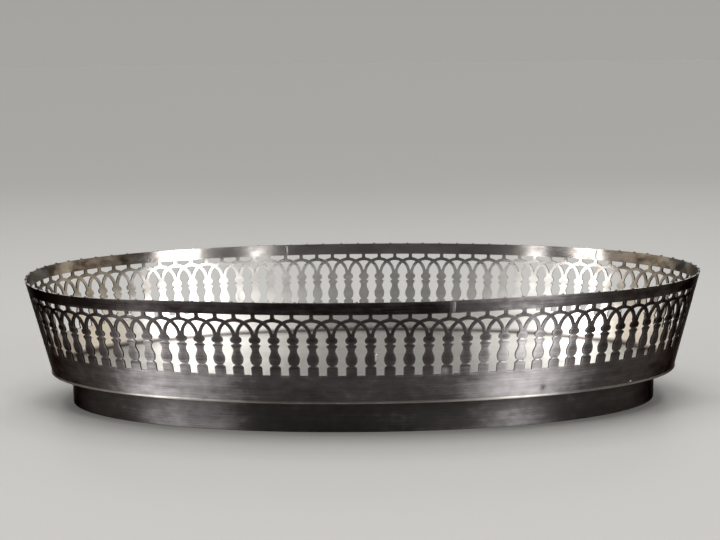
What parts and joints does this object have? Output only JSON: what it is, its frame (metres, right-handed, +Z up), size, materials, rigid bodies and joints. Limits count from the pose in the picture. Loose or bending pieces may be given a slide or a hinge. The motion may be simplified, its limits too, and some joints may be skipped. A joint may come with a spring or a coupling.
{
  "type": "bread basket",
  "caption": "Oval silver bread basket: a leaning gallery wall of pierced arches over turned balusters, soldered round a flat base plate on a low foot ring, with no handle.",
  "frame": {"origin": "on the table under the middle of the basket: the middle of the foot ring's lower edge, at the bottom of the bounding box", "axes": "+X along the long axis of the oval, +Y along the short axis from the pictured front to the back, +Z up"},
  "size_m": [0.34, 0.193, 0.065],
  "materials": {
    "gallery_silver": "old silver sheet, brushed, dark patina on the outside and polished inside",
    "plate_silver": "old silver plate, polished, with fine scratches",
    "foot_silver": "old silver sheet, brushed, dark grey patina"
  },
  "bodies": {
    "root": {"foot_ring": "foot_silver", "base_plate": "plate_silver", "gallery_front": "gallery_silver", "gallery_right": "gallery_silver", "gallery_back": "gallery_silver", "gallery_left": "gallery_silver"}
  },
  "joints": []
}
